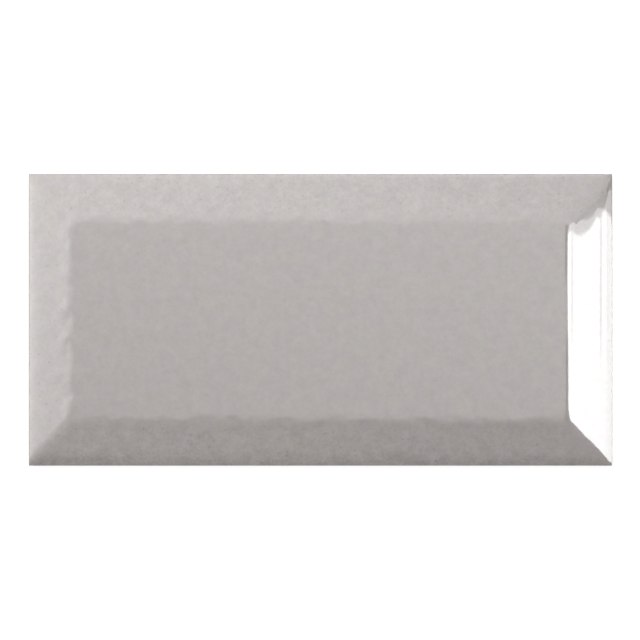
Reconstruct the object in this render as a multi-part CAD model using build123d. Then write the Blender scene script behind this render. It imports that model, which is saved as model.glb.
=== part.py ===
"""Bevelled wall tile: one dry-pressed, glazed ceramic body, nominal 100 x 200 mm.

The tile lies on its back with the glazed face up. The origin is the centre of
the back, +X runs along the length and +Z points out of the face. All sizes are
in millimetres.
"""

import os
from math import floor

from build123d import *

# Overall size of the fired tile
tile_length = 200.0
tile_width = 100.0
tile_thickness = 7.5  # back to the raised field

# Bevelled face
end_bevel_width = 14.8  # outline to the field's edge, across a short end
side_bevel_width = 15.8  # the same, across a long side
foot_width = 2.0  # outer strip of a bevel, which turns down more steeply
knee_height = 4.9  # back to the knee, where the foot starts
rim_height = 4.2  # back to the foot's outer edge, at the outline
arris_radius = 20.0  # soft turn from one plane of the face into the next
rim_radius = 0.25  # round of the outer edge, from the foot into the edge wall

# Edge walls
corner_radius = 0.3  # upright corners of the outline
taper_height = 2.0  # the wall leans in below this height, for release from the die
taper_inset = 0.5  # how far the back's edge lies inside the outline

# Key pattern pressed into the back, which the adhesive grips
key_size = 9.5  # one square recess
key_rib = 3.0  # rib between two recesses
key_border = 6.0  # least plain border between the recesses and the outline
key_depth = 0.6
key_draft = 30.0  # lean of a recess's sides, in degrees


def level(height, end_inset, side_inset):
    """A level rectangle, set in from the outline by a negative or positive inset."""
    sketch = Rectangle(tile_length - 2 * end_inset, tile_width - 2 * side_inset)
    return (Pos(0, 0, height) * sketch).face()


def bevelled_face():
    """A hipped block: field, bevels and feet, with the feet run on down to the back's plane."""
    foot_run_on = foot_width * rim_height / (knee_height - rim_height)
    block = loft(
        [
            level(0, -foot_run_on, -foot_run_on),
            level(knee_height, foot_width, foot_width),
            level(tile_thickness, end_bevel_width, side_bevel_width),
        ],
        ruled=True,
    )
    back_edges = block.edges().group_by(Axis.Z)[0]
    arrises = [edge for edge in block.edges() if edge not in back_edges]
    return fillet(arrises, arris_radius)


def edge_walls():
    """The outline: upright walls round the rim, leaning in towards the back."""
    outline = Pos(0, 0, taper_height) * RectangleRounded(tile_length, tile_width, corner_radius)
    back_length = tile_length - 2 * taper_inset
    back_width = tile_width - 2 * taper_inset
    back = RectangleRounded(back_length, back_width, corner_radius)
    upright = extrude(outline, tile_thickness - taper_height)
    return upright + loft([back.face(), outline.face()], ruled=True)


def is_rim(edge):
    """An edge that runs round the tile above the taper, where a wall meets the face."""
    box = edge.bounding_box()
    return box.min.Z > taper_height and max(box.size.X, box.size.Y) > rim_radius / 100


def round_the_rim(body):
    """Rounds the closed loop of edges where the upright walls meet the face."""
    walls = [wall for wall in body.faces() if abs(wall.normal_at().Z) < 1e-6]
    rim = [edge for wall in walls for edge in wall.edges() if is_rim(edge)]
    return fillet(rim, rim_radius)


def key_recesses():
    """A grid of shallow square recesses, as many as the plain border leaves room for."""
    pitch = key_size + key_rib
    columns = floor((tile_length - 2 * key_border + key_rib) / pitch)
    rows = floor((tile_width - 2 * key_border + key_rib) / pitch)
    squares = GridLocations(pitch, pitch, columns, rows) * Rectangle(key_size, key_size)
    return extrude(Sketch() + squares, key_depth, taper=key_draft)


def wall_tile():
    return round_the_rim(bevelled_face() & edge_walls()) - key_recesses()


if __name__ == "__main__":
    os.makedirs("parts", exist_ok=True)
    tile = wall_tile()
    tile.label = "tile"
    export_step(tile, "parts/tile.step")
    print("tile", len(tile.solids()), "solid", round(tile.volume), "mm3", tile.bounding_box().size)
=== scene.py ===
# %% [markdown]
# # A bevelled wall tile
#
# The tile is one pressed slab of pale clay, about 200 x 100 x 7.5 mm. Its face
# has a flat field with a bevel on each side, and a grey gloss glaze covers the
# face and runs a little way down the edge walls. Everything else is bare fired
# clay, the biscuit. This lesson builds that tile as one closed mesh, gives it
# its two finishes, and photographs it from straight above.
#
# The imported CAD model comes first, because it fixes where the tile lies and how
# big it is. The mesh made below stands in for the CAD one.

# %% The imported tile
from math import cos, pi, radians, sin

import bmesh
import bpy
import numpy as np
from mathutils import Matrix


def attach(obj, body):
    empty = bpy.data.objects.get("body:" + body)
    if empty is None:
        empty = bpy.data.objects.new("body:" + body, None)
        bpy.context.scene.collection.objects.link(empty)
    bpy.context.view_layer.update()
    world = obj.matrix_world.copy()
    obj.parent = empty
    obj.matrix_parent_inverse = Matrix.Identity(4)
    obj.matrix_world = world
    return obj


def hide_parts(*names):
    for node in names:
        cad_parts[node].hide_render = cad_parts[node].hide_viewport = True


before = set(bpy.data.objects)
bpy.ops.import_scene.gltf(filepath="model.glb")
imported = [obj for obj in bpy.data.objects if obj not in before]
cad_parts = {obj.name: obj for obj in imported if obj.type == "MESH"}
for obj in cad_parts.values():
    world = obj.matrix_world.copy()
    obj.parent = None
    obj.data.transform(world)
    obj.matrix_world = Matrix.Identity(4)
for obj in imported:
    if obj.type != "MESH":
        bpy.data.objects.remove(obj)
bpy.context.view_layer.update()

# %% [markdown]
# ## The pressed section
#
# Across any edge the face has three stretches: the level field, a bevel that
# falls away from it, and a last few millimetres where the bevel rolls over
# towards the outline. A die is polished and glaze rounds what it covers, so
# each bend is a soft turn and no crease. It could be drawn as planes with a
# bevel modifier on top. A height for every point is more handy here, because
# ripples can be added to it later. Sizes are in millimetres.

# %% Bevel and rolled edge across one side
half_length, half_width = 100.0, 50.0
field_height, knee_height, rim_height = 7.5, 4.9, 4.2
end_bevel, side_bevel, knee_inset, roll_reach = 14.8, 15.8, 2.0, 1.5


def bevel(inset, width):
    """Height of a bevel at a distance in from the outline, as if no field cut it off."""
    slope = (field_height - knee_height) / (width - knee_inset)
    rim_of_plane = knee_height - slope * knee_inset
    return rim_of_plane + slope * inset - (rim_of_plane - rim_height) * np.exp(-inset / roll_reach)


for inset in (0.0, 1.0, 2.0, 8.0, 14.8):
    print("inset", inset, "mm, bevel at", round(float(bevel(inset, end_bevel)), 3), "mm")

# %% [markdown]
# ## Four bevels that meet in hips
#
# At a corner two bevels meet, and the lower one wins, as on a hipped roof. The
# field then caps the roof in the same way. Each time the change from one height
# to the other is eased, so hips and arrises are rounded. The ease isn't the
# same all over: the arris of the right-hand end is the softest, and the hips of
# the two lower corners soften towards the outline. A plain minimum of planes
# would leave creases that only a modifier could round.

# %% Height of the bevels and the field
hip_reach, arris_reach = 0.7, 0.3


def soft_min(a, b, reach):
    """The lower of two heights, with the change between them eased over that reach."""
    return np.minimum(a, b) - np.maximum(reach - np.abs(a - b), 0) ** 2 / (4 * reach)


def right_end(x):
    """0 over most of the tile, rising to 1 towards its right-hand end."""
    return np.clip((x - 70) / 10, 0, 1)


def roof(x, y):
    """Height of the four bevels at points of the plan, as if they rose to a ridge."""
    ends, sides = bevel(half_length - abs(x), end_bevel), bevel(half_width - abs(y), side_bevel)
    lower_corner = np.clip((-y - 41) / 7, 0, 1)
    return soft_min(ends, sides, hip_reach + 0.5 * lower_corner)


def face_of(bevels, x):
    """Height of the face, which is the bevels' roof cut off by the field."""
    return soft_min(field_height, bevels, arris_reach + 0.1 * right_end(x))


print("hip half way down", round(float(roof(np.array(93.0), np.array(43.0))), 3), "mm")

# %% [markdown]
# ## A random swell
#
# Molten glaze freezes in low swells with no pattern to them. A displacement
# texture could give such swells, but not how steep they are. Here each one is
# a sum of cosines with random headings, and it is set by its slope and not its
# height, because slope is what shows in a gloss surface. A fixed seed makes
# the same tile every time.

# %% Waves
def waves(x, y, wavelength, lean, seed, trains=40):
    """Height of a random swell of that mean wavelength and mean slope."""
    rng = np.random.default_rng(seed)
    headings, phases = rng.uniform(0, 2 * pi, (2, trains))
    numbers = 2 * pi / (wavelength * rng.uniform(0.6, 1.6, trains))
    swell = np.zeros(np.shape(x))
    for heading, number, phase in zip(headings, numbers, phases):
        swell += np.cos(number * (x * cos(heading) + y * sin(heading)) + phase) / number
    return swell * lean * np.sqrt(2 / trains)


walk = np.linspace(-half_width, half_width, 2001)
swell = waves(walk, np.zeros_like(walk), 8.0, 0.045, seed=16)
print("a swell of 8 mm rises and falls by", round(float(np.ptp(swell)), 3), "mm")

# %% [markdown]
# ## Glaze that settled unevenly
#
# Glaze never quite levels. It lies flattest on the field, hangs in low waves on
# the bevels, and gathers most unevenly near the field, so the arrises wander.
# The right-hand end came out much calmer than the rest. The bevels swell before
# the field cuts them off, which moves the arris to and fro as a real one moves.
# Waves added on top of a finished arris would look like nicks. The field's own
# plane stays the upper limit, so the tile keeps its thickness.

# %% The glazed face
turn_radius, bevel_drop, crest_ease = 20.0, 0.5, 0.03


def turning(x, y, reach=1.5):
    """How sharply the pressed face turns down here: 0 on a plane, 1 on an arris."""
    steps = ((reach, 0), (-reach, 0), (0, reach), (0, -reach))
    beside = [face_of(roof(x + dx, y + dy), x) for dx, dy in steps]
    return np.clip((4 * face_of(roof(x, y), x) - sum(beside)) / reach**2 * turn_radius, 0, 1)


def glazed_face(x, y):
    """Height of the face with its glaze on, nowhere above the field's own height."""
    bevels = roof(x, y)
    up_bevel = np.clip((bevels - knee_height) / (field_height - knee_height), 0, 1) ** 3
    scallop = waves(x, y, 8.0, 0.045, seed=16) + waves(x, y, 3.6, 0.035, seed=17)
    pressed = face_of(bevels + (1 - right_end(x)) * up_bevel * scallop, x)
    on_bevel = np.clip((field_height - pressed) / bevel_drop, 0, 1)
    uneven = 1 - 0.95 * right_end(x)
    wander = waves(x, y, 5.0, 0.009, seed=11) + waves(x, y, 12.0, 0.006, seed=12)
    sag = waves(x, y, 11.0, 0.0015, seed=15)
    level = waves(x, y, 14.0, 0.0016, seed=13) + waves(x, y, 5.0, 0.0012, seed=14)
    glazed = pressed + uneven * (turning(x, y) * wander + on_bevel * sag + level)
    return soft_min(field_height, glazed, crest_ease)


for side, arris_x in (("left", end_bevel - half_length), ("right", half_length - end_bevel)):
    arris = glazed_face(np.full(601, arris_x), np.linspace(-30, 30, 601))
    print(side, "arris rises and falls by", round(float(np.ptp(arris)), 3), "mm")

# %% [markdown]
# ## A sheet of mesh for the face
#
# The face is a sheet of quads. Its lines lie close together over the bevels,
# where the surface bends, and further apart on the field. A subdivided plane
# would spend most of its faces where nothing happens. The sheet stops just
# short of the outline, where the rounded rim takes over.

# %% Lines of the sheet
rim_radius, corner_radius = 0.25, 0.3
bevel_step, field_step, past_arris = 0.4, 0.6, 4.0
rim_gaps, bevel_gap = np.array([0.0, 0.12, 0.3]), 0.6
rim_angle = np.arctan((bevel(0.1, end_bevel) - bevel(0.0, end_bevel)) / 0.1)
rim_reach = rim_radius * (1 - sin(rim_angle))


def sheet_lines(half_size, bevel_width):
    """Places of the sheet's lines along one direction, from edge to edge."""
    last, inner = half_size - rim_reach, half_size - bevel_width - past_arris
    beside_rim, first = last - rim_gaps, last - bevel_gap
    on_bevel = np.linspace(first, inner, round((first - inner) / bevel_step) + 1)
    on_field = np.linspace(inner, -inner, round(2 * inner / field_step) + 1)[1:-1]
    outer = np.concatenate([beside_rim, on_bevel])
    return np.concatenate([-outer, -on_field, outer[::-1]])


x_lines, y_lines = sheet_lines(half_length, end_bevel), sheet_lines(half_width, side_bevel)
print("sheet of", len(x_lines), "by", len(y_lines), "lines")

# %% [markdown]
# ## Round corners
#
# Seen from above, the tile's corners are rounded just enough not to cut a
# finger. A square sheet gets such corners by moving the few points beyond the
# arcs' centres. The same helper then serves for every loop of points round the
# tile, so all of them stay in line.

# %% Points of the face
def rounded(x, y, half_x, half_y, radius):
    """Moves points beyond the corners' centres onto arcs, so that square rings get round corners."""
    beyond_x = np.maximum(abs(x) - (half_x - radius), 0)
    beyond_y = np.maximum(abs(y) - (half_y - radius), 0)
    length = np.maximum(np.hypot(beyond_x, beyond_y), 1e-12)
    pull = np.where((beyond_x > 0) & (beyond_y > 0), np.maximum(beyond_x, beyond_y) / length, 1)
    return x + np.sign(x) * beyond_x * (pull - 1), y + np.sign(y) * beyond_y * (pull - 1)


sheet_x, sheet_y = (grid.ravel() for grid in np.meshgrid(x_lines, y_lines, indexing="ij"))
sheet_half_x, sheet_half_y = half_length - rim_reach, half_width - rim_reach
sheet_x, sheet_y = rounded(sheet_x, sheet_y, sheet_half_x, sheet_half_y, corner_radius - rim_reach)
sheet_z = glazed_face(sheet_x, sheet_y)
print(len(sheet_z), "points from", round(sheet_z.min(), 2), "to", round(sheet_z.max(), 2), "mm high")

# %% [markdown]
# ## Rim and edge walls
#
# Below the sheet the tile continues as rings that follow its outline. First
# the rim rolls over in a quarter turn, then the wall drops. The glaze ends on
# the wall in an uneven line with a small step down to the biscuit. Lower down
# the wall leans in, because the die needs that to let go of the tile. Each
# ring is the sheet's own border, moved in or out and rounded at the corners,
# so quads can join it to the sheet without any search for neighbours.

# %% The glaze line
def border(rows, columns):
    """Indices of a sheet's border vertices, in order round the sheet."""
    index = np.arange(rows * columns).reshape(rows, columns)
    return np.concatenate([index[:-1, 0], index[-1, :-1], index[:0:-1, -1], index[0, :0:-1]])


edge = border(len(x_lines), len(y_lines))
edge_x, edge_y, edge_z = sheet_x[edge], sheet_y[edge], sheet_z[edge]
glaze_line = 2.9 + waves(edge_x, edge_y, 9.0, 0.16, seed=21) + waves(edge_x, edge_y, 2.5, 0.1, seed=22)
glaze_line = np.clip(glaze_line, 2.3, 3.4)
print("glaze line at", round(glaze_line.min(), 2), "to", round(glaze_line.max(), 2), "mm")


# %% Rings round the tile
def ring(inset, height):
    """One loop of points round the tile, at that distance in from the outline."""
    half_x, half_y = half_length - inset, half_width - inset
    x, y = edge_x * half_x / sheet_half_x, edge_y * half_y / sheet_half_y
    x, y = rounded(x, y, half_x, half_y, max(corner_radius - inset, 0.1))
    return np.column_stack([x, y, np.broadcast_to(height, x.shape)])


biscuit_inset, taper_height, taper_inset = 0.08, 2.0, 0.5
rings = []
for share in (0.8, 0.6, 0.4, 0.2, 0.0):
    turn = share * (pi / 2 - rim_angle)
    drop = rim_radius * (cos(rim_angle) - sin(turn))
    rings.append(ring(rim_radius * (1 - cos(turn)), edge_z - drop))
# The glaze thins out over its last tenth of a millimetre
rings += [ring(0.0, glaze_line + 0.1), ring(0.03, glaze_line)]
glaze_ends = len(rings)
# The bare wall, with a soft bend where it starts to lean
rings += [ring(biscuit_inset, glaze_line - 0.05), ring(biscuit_inset, taper_height + 0.08)]
rings += [ring(biscuit_inset + 0.02, taper_height - 0.08)]
# The blunt edge round the back
rings += [ring(taper_inset - 0.06, 0.14), ring(taper_inset, 0.05), ring(taper_inset + 0.06, 0.0)]
print(glaze_ends, "glazed rings and", len(rings) - glaze_ends, "bare ones, each of", len(edge), "points")

# %% [markdown]
# ## The key on the back
#
# The back is pressed with a grid of shallow square recesses that the adhesive
# keys into. Booleans could cut them one by one. A sheet whose lines fall on
# the recesses' edges needs no cutting: only the points of their floors are
# lifted, and the quads round them become the sloping sides.

# %% Sheet of the back
key_columns, key_rows, back_border = 15, 7, 2.5
key_pitch, key_half, key_depth = 12.5, 4.75, 0.6
floor_half = key_half - key_depth * np.tan(radians(30))


def key_lines(count, edge_place):
    """Places of the back sheet's lines, and which of them border a recess's floor."""
    centres = key_pitch * (np.arange(count) - (count - 1) / 2)
    places = (centres[:, None] + [-key_half, -floor_half, floor_half, key_half]).ravel()
    on_floor = np.tile([False, True, True, False], count)
    return np.concatenate([[-edge_place], places, [edge_place]]), np.pad(on_floor, 1)


back_x_lines, x_on_floor = key_lines(key_columns, half_length - back_border)
back_y_lines, y_on_floor = key_lines(key_rows, half_width - back_border)
back_x, back_y = (grid.ravel() for grid in np.meshgrid(back_x_lines, back_y_lines, indexing="ij"))
back_z = np.where(np.outer(x_on_floor, y_on_floor).ravel(), key_depth, 0.0)
print("back with", key_columns * key_rows, "recesses,", len(back_x), "points")

# %% [markdown]
# ## Joining the sheets and rings
#
# The sheets and rings now become one closed skin. Neighbouring rings have as
# many points as each other, so plain quads join them. The back's border has
# far fewer points than the last ring, so those two loops are zipped: going
# round both at once, each triangle takes the point that comes next. A remesh
# would close the skin too, but it would blur every edge.

# %% Quads of the face and the walls
def sheet_quads(rows, columns, first):
    """The quads of a sheet whose points are numbered from a first one on."""
    index = first + np.arange(rows * columns).reshape(rows, columns)
    corners = index[:-1, :-1], index[1:, :-1], index[1:, 1:], index[:-1, 1:]
    return np.column_stack([corner.ravel() for corner in corners]).tolist()


def ring_quads(upper, lower):
    """The quads between two loops of as many points."""
    return np.column_stack([upper, np.roll(upper, -1), np.roll(lower, -1), lower]).tolist()


points = [np.column_stack([sheet_x, sheet_y, sheet_z]), *rings]
points.append(np.column_stack([back_x, back_y, back_z]))
starts = np.cumsum([0] + [len(block) for block in points])
loops = [edge] + [start + np.arange(len(edge)) for start in starts[1:-2]]
faces = sheet_quads(len(x_lines), len(y_lines), 0)
for upper, lower in zip(loops[:glaze_ends], loops[1:glaze_ends + 1]):
    faces += ring_quads(upper, lower)
glazed_faces = len(faces)
for upper, lower in zip(loops[glaze_ends:-1], loops[glaze_ends + 1:]):
    faces += ring_quads(upper, lower)
print(glazed_faces, "glazed quads and", len(faces) - glazed_faces, "bare ones on the walls")


# %% Triangles between the walls and the back
def way_round(x, y):
    """How far round the tile each point of a loop lies, from 0 to 1."""
    turn = np.arctan2(y / half_width, x / half_length)
    return np.unwrap(turn - turn[0]) / (2 * pi) * np.sign(np.unwrap(turn)[-1] - turn[0])


def zip_loops(outer, outer_way, inner, inner_way):
    """Triangles between two loops of unlike numbers of points."""
    triangles, i, j = [], 0, 0
    outer_way, inner_way = np.append(outer_way, 1.0), np.append(inner_way, 1.0)
    while i < len(outer) or j < len(inner):
        here, there = outer[i % len(outer)], inner[j % len(inner)]
        if j == len(inner) or (i < len(outer) and outer_way[i + 1] <= inner_way[j + 1]):
            i += 1
            triangles.append((here, outer[i % len(outer)], there))
        else:
            j += 1
            triangles.append((here, inner[j % len(inner)], there))
    return triangles


back_edge = border(len(back_x_lines), len(back_y_lines))
zipped = zip_loops(
    loops[-1], way_round(*rings[-1][:, :2].T),
    starts[-2] + back_edge, way_round(back_x[back_edge], back_y[back_edge]),
)
faces += zipped + sheet_quads(len(back_x_lines), len(back_y_lines), starts[-2])
print(len(zipped), "triangles join the walls to the back")

# %% [markdown]
# ## One closed mesh
#
# The arrays go into a Blender mesh in one step, which is far quicker than
# adding faces one at a time. Each face gets the number of its finish: 0 for
# glaze, 1 for biscuit. Shading is smooth, apart from the edges that are crisp
# on the real tile, such as those of the recesses.

# %% The tile
tile_mesh = bpy.data.meshes.new("glazed_tile")
tile_mesh.from_pydata((0.001 * np.concatenate(points)).tolist(), [], faces)
is_bare = np.arange(len(faces)) >= glazed_faces
tile_mesh.polygons.foreach_set("material_index", is_bare.astype(int))
shaper = bmesh.new()
shaper.from_mesh(tile_mesh)
bmesh.ops.recalc_face_normals(shaper, faces=shaper.faces)
open_edges = sum(not e.is_manifold for e in shaper.edges)
triangles = sum(len(f.verts) - 2 for f in shaper.faces)
volume = shaper.calc_volume()
shaper.to_mesh(tile_mesh)
shaper.free()
tile_mesh.shade_smooth()
tile_mesh.set_sharp_from_angle(angle=radians(35))
glazed_tile = bpy.data.objects.new("glazed_tile", tile_mesh)
bpy.context.scene.collection.objects.link(glazed_tile)
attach(glazed_tile, "root")
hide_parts("tile")
print(triangles, "triangles,", open_edges, "open edges,", round(volume * 1e6, 1), "cm3")

# %% [markdown]
# ## Writing shaders as sums
#
# A finish is a small calculation: so much of this colour, a little more where
# the noise is high. Wiring it up node by node hides that. The class below
# holds one socket of a node tree. Arithmetic on it adds Math nodes, and its
# `node` method adds any other node with its settings and sockets.

# %% A socket that can be used in sums
class Wire:
    """A value on its way through a node tree."""

    def __init__(self, tree, socket=None):
        self.tree, self.socket = tree, socket

    def node(self, kind, settings, sockets, output=0):
        """Adds a node, sets its settings and then its sockets, and returns one of its outputs."""
        made = self.tree.nodes.new(kind)
        for name, value in settings.items():
            setattr(made, name, value)
        for name, value in sockets.items():
            if isinstance(value, Wire):
                self.tree.links.new(value.socket, made.inputs[name])
            else:
                made.inputs[name].default_value = value
        return Wire(self.tree, made.outputs[output])

    def math(self, operation, first, second):
        return self.node("ShaderNodeMath", {"operation": operation}, {0: first, 1: second})

    def __add__(self, other):
        return self.math("ADD", self, other)

    def __mul__(self, other):
        return self.math("MULTIPLY", self, other)

    def __sub__(self, other):
        return self.math("SUBTRACT", self, other)

    def __rsub__(self, other):
        return self.math("SUBTRACT", other, self)

    __radd__, __rmul__ = __add__, __mul__

    def __abs__(self):
        return self.math("ABSOLUTE", self, 0.0)

    def axis(self, name):
        """One of the three numbers of a place: X, Y or Z."""
        return self.node("ShaderNodeSeparateXYZ", {}, {"Vector": self}, output=name)

    def ease(self, low, high):
        """0 below low, 1 above high, and a smooth step between them."""
        settings = {"interpolation_type": "SMOOTHSTEP"}
        sockets = {"Value": self, "From Min": low, "From Max": high}
        return self.node("ShaderNodeMapRange", settings, sockets)

    def blend(self, low, high):
        """One colour where the value is 0 and another where it is 1."""
        return self.node("ShaderNodeMix", {"data_type": "RGBA"}, {0: self, 6: low, 7: high}, output=2)


trial = bpy.data.node_groups.new("trial", "ShaderNodeTree")
value = Wire(trial).node("ShaderNodeValue", {}, {})
outcome = 1 - 2 * value
print("1 - 2 * value takes", len(trial.nodes) - 1, "Math nodes")
bpy.data.node_groups.remove(trial)

# %% [markdown]
# ## The grey glaze
#
# The glaze is an opaque warm grey under a hard gloss. Looked at closely it
# isn't one colour. It is mottled lighter and darker at every size from a grain
# of sand to a thumbnail, drifts between a pinkish and a greenish grey, and
# carries many fine specks. The bevels are more mottled than the field, because
# the glaze runs thin on them and the body's grain shows through, and the ends
# less so than the sides. Along the lower edge the glaze is painted darker, most
# of all at the left, as painted shade. A photograph of glaze as a texture would
# bring its own light with it, so sums of noise make the colour here.

# %% A finish to start from
def finish_on(name):
    """A new material, its shader and the tile's own coordinates, in metres."""
    material = bpy.data.materials.new(name)
    material.use_nodes = True
    shader = material.node_tree.nodes["Principled BSDF"]
    place = Wire(material.node_tree).node("ShaderNodeTexCoord", {}, {}, output="Object")
    return material, shader, place


def noise(place, wavelength, detail=2.0, grit=0.5):
    """Cloudy noise from 0 to 1: its largest features in millimetres, its octaves and their strength."""
    sockets = {"Vector": place, "Scale": 1000 / wavelength, "Detail": detail, "Roughness": grit}
    return place.node("ShaderNodeTexNoise", {}, sockets)


def feed(shader, name, wire):
    """Plugs a value into one of a shader's sockets."""
    wire.tree.links.new(wire.socket, shader.inputs[name])


glaze, glaze_shader, place = finish_on("grey_glaze")
tile_mesh.materials.append(glaze)
print("finish", len(tile_mesh.materials), "is", glaze.name)

# %% Mottled colour of the glaze
along, across, height = place.axis("X"), place.axis("Y"), place.axis("Z")
on_bevel, on_end = 1 - height.ease(0.0068, 0.0074), abs(along).ease(0.085, 0.09)
mottle = noise(place, 4.0, 4.0, 0.9) - 0.5
aside = place.node("ShaderNodeVectorMath", {}, {0: place, 1: (0.3, 0.3, 0.0)})
tint = noise(aside, 5.0, 4.0, 0.9)
shade = 0.5 + (1.9 + 1.4 * on_bevel - 1.0 * on_end) * mottle
pinkish = shade.blend((0.318, 0.288, 0.297, 1), (0.384, 0.349, 0.361, 1))
greenish = shade.blend((0.313, 0.296, 0.269, 1), (0.378, 0.359, 0.326, 1))
colour = tint.ease(0.2, 0.8).blend(pinkish, greenish)
print("mottled grey after", len(glaze.node_tree.nodes), "nodes")

# %% Specks and painted shade along the lower edge
specks = place.node("ShaderNodeTexVoronoi", {}, {"Vector": place, "Scale": 350.0})
specks = (0.05 + 0.1 * on_bevel) * (1 - specks.ease(0.05, 0.22))
# Painted shade: the glaze is drawn darker along the lower edge, most of all at the left
painted_shade_lower_edge = (0.23 - 0.1 * along.ease(-0.09, -0.06)) * (1 - across.ease(-0.05, -0.043)) * (1 - 3 * mottle)
# The dark blend holds the glaze's own specks and the painted shade of the lower edge
colour = (specks + painted_shade_lower_edge).blend(colour, (0.05, 0.045, 0.04, 1))
feed(glaze_shader, "Base Color", colour)
print("specks and pool after", len(glaze.node_tree.nodes), "nodes")

# %% [markdown]
# ## Gloss and orange peel
#
# What makes the surface look like glaze is its gloss: hardly any roughness,
# and an index of refraction a little above that of window glass. The waves are
# already in the mesh, so the bump only adds an orange peel too fine for it.

# %% Gloss of the glaze
feed(glaze_shader, "Roughness", 0.012 + 0.016 * tint)
peel = noise(place, 1.6, 1.0)
bump = place.node("ShaderNodeBump", {}, {"Strength": 0.08, "Distance": 0.000005, "Height": peel})
feed(glaze_shader, "Normal", bump)
glaze_shader.inputs["IOR"].default_value = 1.55
print("glaze with", len(glaze.node_tree.nodes), "nodes")

# %% [markdown]
# ## The bare biscuit
#
# Fired clay is pale, chalky and matt. The pressed powder leaves fine grains
# and scattered pits. The ribs of the back carry a thin chalky wash that keeps
# the tile from sticking in the kiln, so they are lighter than the recesses'
# floors. The wash could be painted as a mask, but height over the bed already
# tells one from the other.

# %% Biscuit
biscuit, biscuit_shader, place = finish_on("pale_biscuit")
tile_mesh.materials.append(biscuit)
cloud = noise(place, 12.0, 4.0)
grain = noise(place, 0.5, 3.0)
pits = noise(place, 1.3, 1.0).ease(0.27, 0.36)
wash = (1 - place.axis("Z").ease(0.0001, 0.0004)) * cloud.ease(0.35, 0.6)
clay = (0.35 * cloud + 0.35 * grain + 0.15).blend((0.50, 0.43, 0.35, 1), (0.68, 0.62, 0.54, 1))
clay = (0.55 * wash).blend(clay, (0.80, 0.78, 0.74, 1))
# The pits are drawn in a darker colour, which is painted shade in them; the bump below gives them their
# shape
clay = pits.blend((0.36, 0.30, 0.24, 1), clay)
feed(biscuit_shader, "Base Color", clay)
feed(biscuit_shader, "Roughness", 0.78 + 0.18 * grain)
relief = 0.5 * grain + 0.5 * pits
bump = place.node("ShaderNodeBump", {}, {"Strength": 0.6, "Distance": 0.00006, "Height": relief})
feed(biscuit_shader, "Normal", bump)
print("biscuit with", len(biscuit.node_tree.nodes), "nodes")

# %% [markdown]
# ## The table
#
# The tile lies on white acrylic that glows faintly, as a photographer's table
# does when it is lit from below. That keeps the ground white and leaves
# hardly a shadow. A white floor lit from above would do as well, but then the
# lamps couldn't be set for the tile alone.

# %% White table
table_reach = 6
corners = [(-table_reach, -table_reach, 0), (table_reach, -table_reach, 0)]
corners += [(table_reach, table_reach, 0), (-table_reach, table_reach, 0)]
table_mesh = bpy.data.meshes.new("table")
table_mesh.from_pydata(corners, [], [(0, 1, 2, 3)])
table = bpy.data.objects.new("table", table_mesh)
bpy.context.scene.collection.objects.link(table)
acrylic = bpy.data.materials.new("white_acrylic")
acrylic.use_nodes = True
acrylic_shader = acrylic.node_tree.nodes["Principled BSDF"]
acrylic_shader.inputs["Base Color"].default_value = (0.2, 0.2, 0.2, 1)
acrylic_shader.inputs["Roughness"].default_value = 0.9
acrylic_shader.inputs["Specular IOR Level"].default_value = 0.0
acrylic_shader.inputs["Emission Color"].default_value = (1, 1, 1, 1)
acrylic_shader.inputs["Emission Strength"].default_value = 0.88
table_mesh.materials.append(acrylic)
print("table", 2 * table_reach, "m wide")

# %% [markdown]
# ## Light from a scrim
#
# A gloss tile shows what hangs over it. The field mirrors the space straight
# above, and each bevel mirrors what lies about 24 degrees off to its own side.
# So a scrim hangs overhead with four lamps behind it, most of them to the left
# and the top. The left and top bevels come out lighter than the field and the
# lower one darker. Four bare lamps would show as four hard spots in the glaze.
# The scrim is one flat panel instead, and its brightness is drawn on it.

# %% A panel of light
def lamp(name, low, high, lamp_height):
    """A panel between two corners that shines straight down, and the place on it in metres."""
    light = bpy.data.lights.new(name, "AREA")
    light.shape, light.size, light.size_y = "RECTANGLE", high[0] - low[0], high[1] - low[1]
    light.energy = pi * light.size * light.size_y
    panel = bpy.data.objects.new(name, light)
    panel.location = (low[0] + high[0]) / 2, (low[1] + high[1]) / 2, lamp_height
    panel.visible_camera = False
    bpy.context.scene.collection.objects.link(panel)
    light.use_nodes = True
    spot = Wire(light.node_tree).node("ShaderNodeNewGeometry", {}, {}, output="Parametric")
    sockets = {0: spot, 1: (light.size, light.size_y, 0.0), 2: (*low, 0.0)}
    return panel, spot.node("ShaderNodeVectorMath", {"operation": "MULTIPLY_ADD"}, sockets)


scrim, scrim_spot = lamp("scrim", (-1.25, -0.6), (0.75, 1.15), 1.01)
print("scrim", round(scrim.data.size, 2), "by", round(scrim.data.size_y, 2), "m")


# %% Glow of four lamps behind the scrim
def behind(spot, centre, reach, strength):
    """Glow of a lamp behind the scrim, which fades to nothing at its reach."""
    settings, sockets = {"operation": "DISTANCE"}, {0: spot, 1: (*centre, 0.0)}
    distance = spot.node("ShaderNodeVectorMath", settings, sockets, output="Value")
    return strength - strength * distance.ease(0.0, reach)


glow = behind(scrim_spot, (0.12, 1.48), 1.22, 6.9) + behind(scrim_spot, (-1.06, 0.23), 0.95, 7.0)
glow = glow + behind(scrim_spot, (0.39, 0.12), 0.65, 3.0) + behind(scrim_spot, (-0.23, 0.43), 0.73, 3.3)
print("glow after", len(scrim.data.node_tree.nodes), "nodes")

# %% [markdown]
# ## Black cards
#
# Photographers hang black cards beside a light to draw the edges of glossy
# things. Two narrow ones, one above the other with a small gap between them,
# draw the thin dark line along the right-hand arris. They bow a little to the
# left, and so does the line. A dark line painted on the glaze would stay where
# it is when the view changes, and a mirrored one moves as it should.

# %% Black cards on the scrim
def bowed(x, y):
    """The place across a panel, shifted so that what follows it bows to the left."""
    return x + 0.034 * (1 - abs(y - 0.025).ease(0.0, 0.06))


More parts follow.
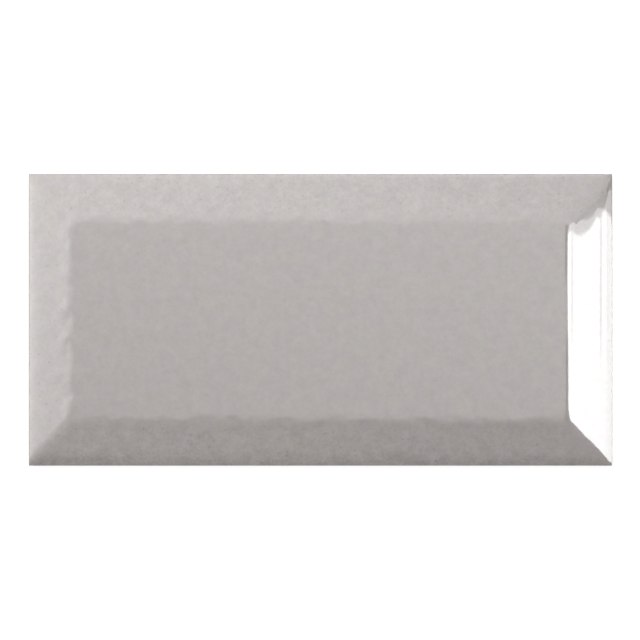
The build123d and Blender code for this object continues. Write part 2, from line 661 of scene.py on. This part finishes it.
scrim_x, scrim_y = scrim_spot.axis("X"), scrim_spot.axis("Y")
black_card = 1 - abs(bowed(scrim_x, scrim_y) - 0.24).ease(0.035, 0.055)
black_card = black_card * (1 - scrim_y.ease(0.1, 0.14))
black_card = black_card * (0.2 + 0.8 * abs(scrim_y - 0.006).ease(0.012, 0.024))
feed(scrim.data.node_tree.nodes["Emission"], "Strength", glow - glow * black_card)
print("scrim with", len(scrim.data.node_tree.nodes), "nodes")

# %% [markdown]
# ## A strip box on the right
#
# A strip box is a long lamp behind a sheet of frosted cloth. On the right one
# burns out its bevel to white. Its upper end shows twice in the bevel: the bare
# lamp stops first, and the frosted cloth goes on a little further as a light
# grey patch. Seams of the cloth show as thin grey lines. The box is drawn on
# one panel too, because its edges have to fall on the tile just where they are
# wanted. It lights no matt surface, so it can be as bright as the reflection
# needs.

# %% Edges of the strip box
strip_box, box_spot = lamp("strip_box", (0.25, -0.9), (4.0, 0.3), 1.0)
strip_box.visible_diffuse = False
box_x, box_y = box_spot.axis("X"), box_spot.axis("Y")
lower_cut = box_y + 0.8 * box_x - 0.4 * box_x.ease(0.45, 1.0)
end_cut = bowed(box_x, box_y).ease(0.283, 0.328) * lower_cut.ease(0.036, 0.076)
frost_edge = 0.12 - 0.06 * box_x.ease(0.45, 0.585)
frost_edge = frost_edge + 0.0072 * box_x.ease(0.583, 0.613) + 0.016 * box_x.ease(0.63, 0.9)
bare_edge = 0.05 + 0.0115 * box_x.ease(0.58, 0.606) + 0.0055 * box_x.ease(0.61, 0.68)
print("strip box", round(strip_box.data.size, 2), "by", round(strip_box.data.size_y, 2), "m")

# %% Brightness of the strip box
frost_strength, bare_strength, soft_edge = 5.0, 8.5, 0.0008
frost = frost_strength - frost_strength * (box_y - frost_edge).ease(-soft_edge, soft_edge)
bare = bare_strength
for seam, width, depth in ((0.45, 0.08, 5.0), (0.63, 0.016, 5.0), (0.78, 0.05, 1.5)):
    bare = bare - depth * box_y.ease(-0.045, 0.01) * (1 - abs(box_x - seam).ease(0.0, width))
bare = bare * (1 - (box_y - bare_edge).ease(-soft_edge, soft_edge))
feed(strip_box.data.node_tree.nodes["Emission"], "Strength", end_cut * (frost + bare))
print("strip box with", len(strip_box.data.node_tree.nodes), "nodes")

# %% [markdown]
# ## The room
#
# A studio has dark walls, which keeps stray light out of the glaze. A nearly
# black world is enough for that, and no walls have to be built.

# %% Dark room
room_grey = 0.02
world = bpy.data.worlds.new("studio")
bpy.context.scene.world = world
world.use_nodes = True
world.node_tree.nodes["Background"].inputs["Color"].default_value = (room_grey, room_grey, room_grey, 1)
print(len(bpy.data.lights), "lamps in a room of grey", room_grey)

# %% [markdown]
# ## The camera
#
# The camera looks straight down, with the tile's length across the picture. A
# long lens from far off keeps the outline square, as it is in a catalogue. An
# orthographic camera would do that too, but then every point of the field
# would mirror the same spot of the scrim, and the field would be one flat grey.

# %% Camera
camera_distance, picture_width, sensor_width = 1.5, 0.2194, 36.0
camera_data = bpy.data.cameras.new("camera")
camera = bpy.data.objects.new("camera", camera_data)
bpy.context.scene.collection.objects.link(camera)
bpy.context.scene.camera = camera
camera.location = (-0.00017, -0.00006, 1.504)
camera_data.sensor_width = sensor_width
camera_data.lens = sensor_width * camera_distance / picture_width
camera_data.clip_end = 30.0
bpy.context.scene.view_settings.view_transform = "Standard"
print("camera with a lens of", round(camera_data.lens), "mm")
